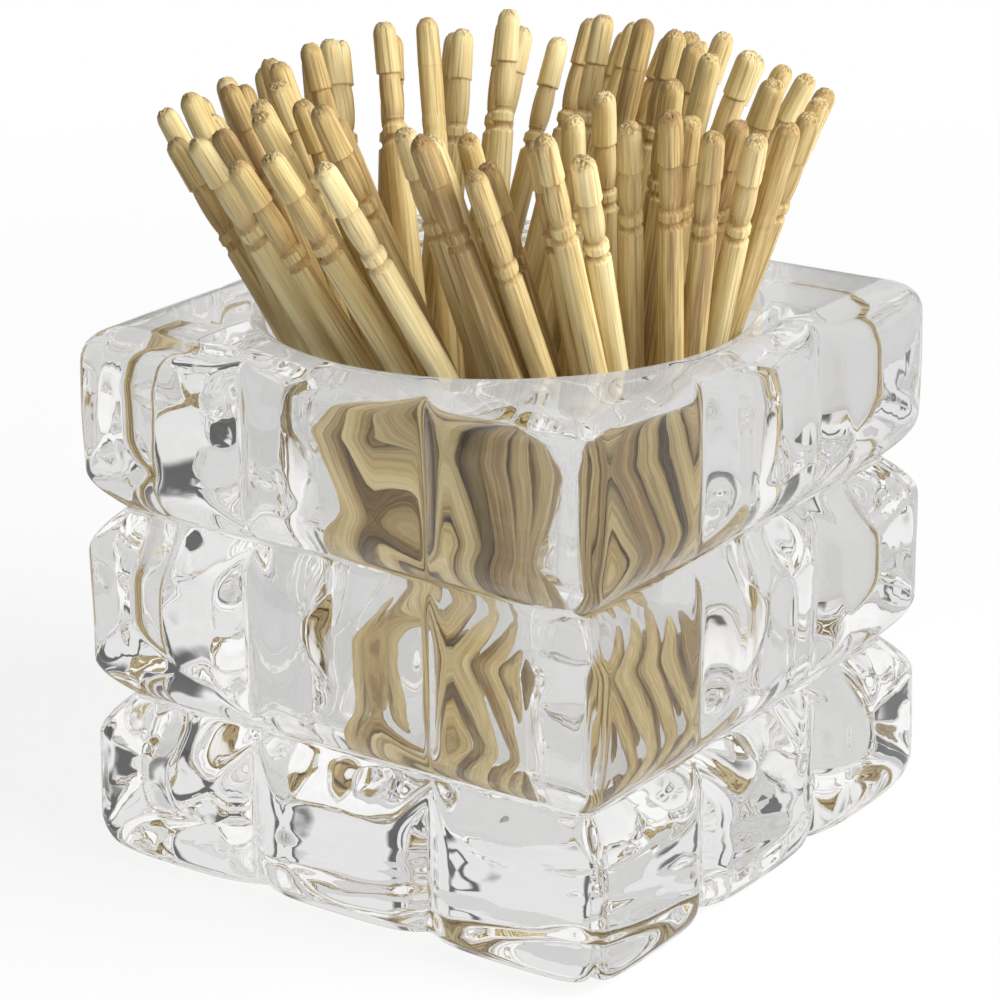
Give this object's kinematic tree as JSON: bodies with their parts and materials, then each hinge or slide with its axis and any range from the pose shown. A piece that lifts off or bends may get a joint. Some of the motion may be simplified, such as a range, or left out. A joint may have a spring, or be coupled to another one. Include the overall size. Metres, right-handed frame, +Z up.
{
  "type": "toothpick holder",
  "caption": "Square pressed-glass holder with bevelled grid sides and a round tapered well, full of loose wooden toothpicks with turned heads that lift out.",
  "frame": {"origin": "middle of the base, on the table", "axes": "+Z up; the four sides of the block face +X, -X, +Y and -Y"},
  "size_m": [0.0586, 0.0601, 0.0732],
  "materials": {
    "glass": "clear, fire polished",
    "bamboo": "bare, smooth turned"
  },
  "bodies": {
    "glass_block": {"glass_block": "glass"},
    "toothpick_01": {"toothpick_01": "bamboo"},
    "toothpick_02": {"toothpick_02": "bamboo"},
    "toothpick_03": {"toothpick_03": "bamboo"},
    "toothpick_04": {"toothpick_04": "bamboo"},
    "toothpick_05": {"toothpick_05": "bamboo"},
    "toothpick_06": {"toothpick_06": "bamboo"},
    "toothpick_07": {"toothpick_07": "bamboo"},
    "toothpick_08": {"toothpick_08": "bamboo"},
    "toothpick_09": {"toothpick_09": "bamboo"},
    "toothpick_10": {"toothpick_10": "bamboo"},
    "toothpick_11": {"toothpick_11": "bamboo"},
    "toothpick_12": {"toothpick_12": "bamboo"},
    "toothpick_13": {"toothpick_13": "bamboo"},
    "toothpick_14": {"toothpick_14": "bamboo"},
    "toothpick_15": {"toothpick_15": "bamboo"},
    "toothpick_16": {"toothpick_16": "bamboo"},
    "toothpick_17": {"toothpick_17": "bamboo"},
    "toothpick_18": {"toothpick_18": "bamboo"},
    "toothpick_19": {"toothpick_19": "bamboo"},
    "toothpick_20": {"toothpick_20": "bamboo"},
    "toothpick_21": {"toothpick_21": "bamboo"},
    "toothpick_22": {"toothpick_22": "bamboo"},
    "toothpick_23": {"toothpick_23": "bamboo"},
    "toothpick_24": {"toothpick_24": "bamboo"},
    "toothpick_25": {"toothpick_25": "bamboo"},
    "toothpick_26": {"toothpick_26": "bamboo"},
    "toothpick_27": {"toothpick_27": "bamboo"},
    "toothpick_28": {"toothpick_28": "bamboo"},
    "toothpick_29": {"toothpick_29": "bamboo"},
    "toothpick_30": {"toothpick_30": "bamboo"},
    "toothpick_31": {"toothpick_31": "bamboo"},
    "toothpick_32": {"toothpick_32": "bamboo"},
    "toothpick_33": {"toothpick_33": "bamboo"},
    "toothpick_34": {"toothpick_34": "bamboo"},
    "toothpick_35": {"toothpick_35": "bamboo"},
    "toothpick_36": {"toothpick_36": "bamboo"},
    "toothpick_37": {"toothpick_37": "bamboo"},
    "toothpick_38": {"toothpick_38": "bamboo"},
    "toothpick_39": {"toothpick_39": "bamboo"},
    "toothpick_40": {"toothpick_40": "bamboo"},
    "toothpick_41": {"toothpick_41": "bamboo"},
    "toothpick_42": {"toothpick_42": "bamboo"},
    "toothpick_43": {"toothpick_43": "bamboo"},
    "toothpick_44": {"toothpick_44": "bamboo"},
    "toothpick_45": {"toothpick_45": "bamboo"},
    "toothpick_46": {"toothpick_46": "bamboo"},
    "toothpick_47": {"toothpick_47": "bamboo"},
    "toothpick_48": {"toothpick_48": "bamboo"},
    "toothpick_49": {"toothpick_49": "bamboo"},
    "toothpick_50": {"toothpick_50": "bamboo"},
    "toothpick_51": {"toothpick_51": "bamboo"},
    "toothpick_52": {"toothpick_52": "bamboo"},
    "toothpick_53": {"toothpick_53": "bamboo"},
    "toothpick_54": {"toothpick_54": "bamboo"},
    "toothpick_55": {"toothpick_55": "bamboo"},
    "toothpick_56": {"toothpick_56": "bamboo"},
    "toothpick_57": {"toothpick_57": "bamboo"},
    "toothpick_58": {"toothpick_58": "bamboo"},
    "inner_toothpicks": {"inner_toothpicks": "bamboo"}
  },
  "joints": [
    {"name": "inner_toothpicks_lift", "type": "slide", "parent": "glass_block", "child": "inner_toothpicks", "axis": [-0.0247, -0.057, 0.9981], "range_m": [0, 0.063]},
    {"name": "toothpick_01_lift", "type": "slide", "parent": "glass_block", "child": "toothpick_01", "axis": [-0.2198, 0.3622, 0.9058], "range_m": [0, 0.063]},
    {"name": "toothpick_02_lift", "type": "slide", "parent": "glass_block", "child": "toothpick_02", "axis": [-0.3082, 0.3143, 0.8979], "range_m": [0, 0.063]},
    {"name": "toothpick_03_lift", "type": "slide", "parent": "glass_block", "child": "toothpick_03", "axis": [-0.336, 0.3067, 0.8906], "range_m": [0, 0.063]},
    {"name": "toothpick_04_lift", "type": "slide", "parent": "glass_block", "child": "toothpick_04", "axis": [-0.4128, 0.224, 0.8828], "range_m": [0, 0.063]},
    {"name": "toothpick_05_lift", "type": "slide", "parent": "glass_block", "child": "toothpick_05", "axis": [-0.4664, 0.1457, 0.8725], "range_m": [0, 0.063]},
    {"name": "toothpick_06_lift", "type": "slide", "parent": "glass_block", "child": "toothpick_06", "axis": [-0.4878, 0.0584, 0.871], "range_m": [0, 0.063]},
    {"name": "toothpick_07_lift", "type": "slide", "parent": "glass_block", "child": "toothpick_07", "axis": [-0.5255, -0.0768, 0.8473], "range_m": [0, 0.063]},
    {"name": "toothpick_08_lift", "type": "slide", "parent": "glass_block", "child": "toothpick_08", "axis": [-0.5355, -0.1084, 0.8376], "range_m": [0, 0.063]},
    {"name": "toothpick_09_lift", "type": "slide", "parent": "glass_block", "child": "toothpick_09", "axis": [-0.3961, -0.1211, 0.9102], "range_m": [0, 0.063]},
    {"name": "toothpick_10_lift", "type": "slide", "parent": "glass_block", "child": "toothpick_10", "axis": [-0.4061, -0.2765, 0.871], "range_m": [0, 0.063]},
    {"name": "toothpick_11_lift", "type": "slide", "parent": "glass_block", "child": "toothpick_11", "axis": [-0.3425, -0.3512, 0.8714], "range_m": [0, 0.063]},
    {"name": "toothpick_12_lift", "type": "slide", "parent": "glass_block", "child": "toothpick_12", "axis": [-0.2655, -0.4146, 0.8704], "range_m": [0, 0.063]},
    {"name": "toothpick_13_lift", "type": "slide", "parent": "glass_block", "child": "toothpick_13", "axis": [-0.1421, -0.4939, 0.8578], "range_m": [0, 0.063]},
    {"name": "toothpick_14_lift", "type": "slide", "parent": "glass_block", "child": "toothpick_14", "axis": [-0.0737, -0.3995, 0.9138], "range_m": [0, 0.063]},
    {"name": "toothpick_15_lift", "type": "slide", "parent": "glass_block", "child": "toothpick_15", "axis": [-0.0112, -0.4348, 0.9005], "range_m": [0, 0.063]},
    {"name": "toothpick_16_lift", "type": "slide", "parent": "glass_block", "child": "toothpick_16", "axis": [0.0794, -0.4159, 0.9059], "range_m": [0, 0.063]},
    {"name": "toothpick_17_lift", "type": "slide", "parent": "glass_block", "child": "toothpick_17", "axis": [0.1581, -0.4391, 0.8844], "range_m": [0, 0.063]},
    {"name": "toothpick_18_lift", "type": "slide", "parent": "glass_block", "child": "toothpick_18", "axis": [0.1802, -0.2948, 0.9384], "range_m": [0, 0.063]},
    {"name": "toothpick_19_lift", "type": "slide", "parent": "glass_block", "child": "toothpick_19", "axis": [0.2835, -0.325, 0.9022], "range_m": [0, 0.063]},
    {"name": "toothpick_20_lift", "type": "slide", "parent": "glass_block", "child": "toothpick_20", "axis": [0.3379, -0.2629, 0.9037], "range_m": [0, 0.063]},
    {"name": "toothpick_21_lift", "type": "slide", "parent": "glass_block", "child": "toothpick_21", "axis": [0.3821, -0.1987, 0.9025], "range_m": [0, 0.063]},
    {"name": "toothpick_22_lift", "type": "slide", "parent": "glass_block", "child": "toothpick_22", "axis": [0.4199, -0.1388, 0.8969], "range_m": [0, 0.063]},
    {"name": "toothpick_23_lift", "type": "slide", "parent": "glass_block", "child": "toothpick_23", "axis": [0.4217, -0.0307, 0.9062], "range_m": [0, 0.063]},
    {"name": "toothpick_24_lift", "type": "slide", "parent": "glass_block", "child": "toothpick_24", "axis": [0.4454, 0.0414, 0.8944], "range_m": [0, 0.063]},
    {"name": "toothpick_25_lift", "type": "slide", "parent": "glass_block", "child": "toothpick_25", "axis": [0.4006, 0.1687, 0.9006], "range_m": [0, 0.063]},
    {"name": "toothpick_26_lift", "type": "slide", "parent": "glass_block", "child": "toothpick_26", "axis": [0.3831, 0.2028, 0.9012], "range_m": [0, 0.063]},
    {"name": "toothpick_27_lift", "type": "slide", "parent": "glass_block", "child": "toothpick_27", "axis": [0.3455, 0.2698, 0.8988], "range_m": [0, 0.063]},
    {"name": "toothpick_28_lift", "type": "slide", "parent": "glass_block", "child": "toothpick_28", "axis": [0.2179, 0.3564, 0.9086], "range_m": [0, 0.063]},
    {"name": "toothpick_29_lift", "type": "slide", "parent": "glass_block", "child": "toothpick_29", "axis": [0.2174, 0.3432, 0.9138], "range_m": [0, 0.063]},
    {"name": "toothpick_30_lift", "type": "slide", "parent": "glass_block", "child": "toothpick_30", "axis": [0.1372, 0.3908, 0.9102], "range_m": [0, 0.063]},
    {"name": "toothpick_31_lift", "type": "slide", "parent": "glass_block", "child": "toothpick_31", "axis": [-0.011, 0.4513, 0.8923], "range_m": [0, 0.063]},
    {"name": "toothpick_32_lift", "type": "slide", "parent": "glass_block", "child": "toothpick_32", "axis": [-0.0036, 0.4093, 0.9124], "range_m": [0, 0.063]},
    {"name": "toothpick_33_lift", "type": "slide", "parent": "glass_block", "child": "toothpick_33", "axis": [-0.1554, 0.4046, 0.9012], "range_m": [0, 0.063]},
    {"name": "toothpick_34_lift", "type": "slide", "parent": "glass_block", "child": "toothpick_34", "axis": [0.0869, -0.3897, 0.9168], "range_m": [0, 0.063]},
    {"name": "toothpick_35_lift", "type": "slide", "parent": "glass_block", "child": "toothpick_35", "axis": [0.2096, -0.3389, 0.9172], "range_m": [0, 0.063]},
    {"name": "toothpick_36_lift", "type": "slide", "parent": "glass_block", "child": "toothpick_36", "axis": [0.2867, -0.2832, 0.9152], "range_m": [0, 0.063]},
    {"name": "toothpick_37_lift", "type": "slide", "parent": "glass_block", "child": "toothpick_37", "axis": [0.3493, -0.2006, 0.9153], "range_m": [0, 0.063]},
    {"name": "toothpick_38_lift", "type": "slide", "parent": "glass_block", "child": "toothpick_38", "axis": [0.37, -0.0625, 0.9269], "range_m": [0, 0.063]},
    {"name": "toothpick_39_lift", "type": "slide", "parent": "glass_block", "child": "toothpick_39", "axis": [0.3821, -0.0397, 0.9233], "range_m": [0, 0.063]},
    {"name": "toothpick_40_lift", "type": "slide", "parent": "glass_block", "child": "toothpick_40", "axis": [0.3243, 0.0797, 0.9426], "range_m": [0, 0.063]},
    {"name": "toothpick_41_lift", "type": "slide", "parent": "glass_block", "child": "toothpick_41", "axis": [0.27, 0.1792, 0.946], "range_m": [0, 0.063]},
    {"name": "toothpick_42_lift", "type": "slide", "parent": "glass_block", "child": "toothpick_42", "axis": [0.2057, 0.2768, 0.9387], "range_m": [0, 0.063]},
    {"name": "toothpick_43_lift", "type": "slide", "parent": "glass_block", "child": "toothpick_43", "axis": [0.1159, 0.3242, 0.9389], "range_m": [0, 0.063]},
    {"name": "toothpick_44_lift", "type": "slide", "parent": "glass_block", "child": "toothpick_44", "axis": [0.062, 0.3489, 0.9351], "range_m": [0, 0.063]},
    {"name": "toothpick_45_lift", "type": "slide", "parent": "glass_block", "child": "toothpick_45", "axis": [-0.0966, 0.3491, 0.9321], "range_m": [0, 0.063]},
    {"name": "toothpick_46_lift", "type": "slide", "parent": "glass_block", "child": "toothpick_46", "axis": [-0.1618, 0.3676, 0.9158], "range_m": [0, 0.063]},
    {"name": "toothpick_47_lift", "type": "slide", "parent": "glass_block", "child": "toothpick_47", "axis": [-0.248, 0.3046, 0.9196], "range_m": [0, 0.063]},
    {"name": "toothpick_48_lift", "type": "slide", "parent": "glass_block", "child": "toothpick_48", "axis": [-0.3199, 0.2132, 0.9232], "range_m": [0, 0.063]},
    {"name": "toothpick_49_lift", "type": "slide", "parent": "glass_block", "child": "toothpick_49", "axis": [-0.4147, 0.1252, 0.9013], "range_m": [0, 0.063]},
    {"name": "toothpick_50_lift", "type": "slide", "parent": "glass_block", "child": "toothpick_50", "axis": [-0.4557, 0.0848, 0.8861], "range_m": [0, 0.063]},
    {"name": "toothpick_51_lift", "type": "slide", "parent": "glass_block", "child": "toothpick_51", "axis": [-0.4246, -0.0658, 0.903], "range_m": [0, 0.063]},
    {"name": "toothpick_52_lift", "type": "slide", "parent": "glass_block", "child": "toothpick_52", "axis": [-0.4283, -0.1847, 0.8845], "range_m": [0, 0.063]},
    {"name": "toothpick_53_lift", "type": "slide", "parent": "glass_block", "child": "toothpick_53", "axis": [-0.3934, -0.2366, 0.8884], "range_m": [0, 0.063]},
    {"name": "toothpick_54_lift", "type": "slide", "parent": "glass_block", "child": "toothpick_54", "axis": [-0.2831, -0.3033, 0.9099], "range_m": [0, 0.063]},
    {"name": "toothpick_55_lift", "type": "slide", "parent": "glass_block", "child": "toothpick_55", "axis": [-0.2852, -0.3419, 0.8954], "range_m": [0, 0.063]},
    {"name": "toothpick_56_lift", "type": "slide", "parent": "glass_block", "child": "toothpick_56", "axis": [-0.1882, -0.3662, 0.9113], "range_m": [0, 0.063]},
    {"name": "toothpick_57_lift", "type": "slide", "parent": "glass_block", "child": "toothpick_57", "axis": [-0.0307, -0.409, 0.912], "range_m": [0, 0.063]},
    {"name": "toothpick_58_lift", "type": "slide", "parent": "glass_block", "child": "toothpick_58", "axis": [0.0433, -0.443, 0.8955], "range_m": [0, 0.063]}
  ]
}
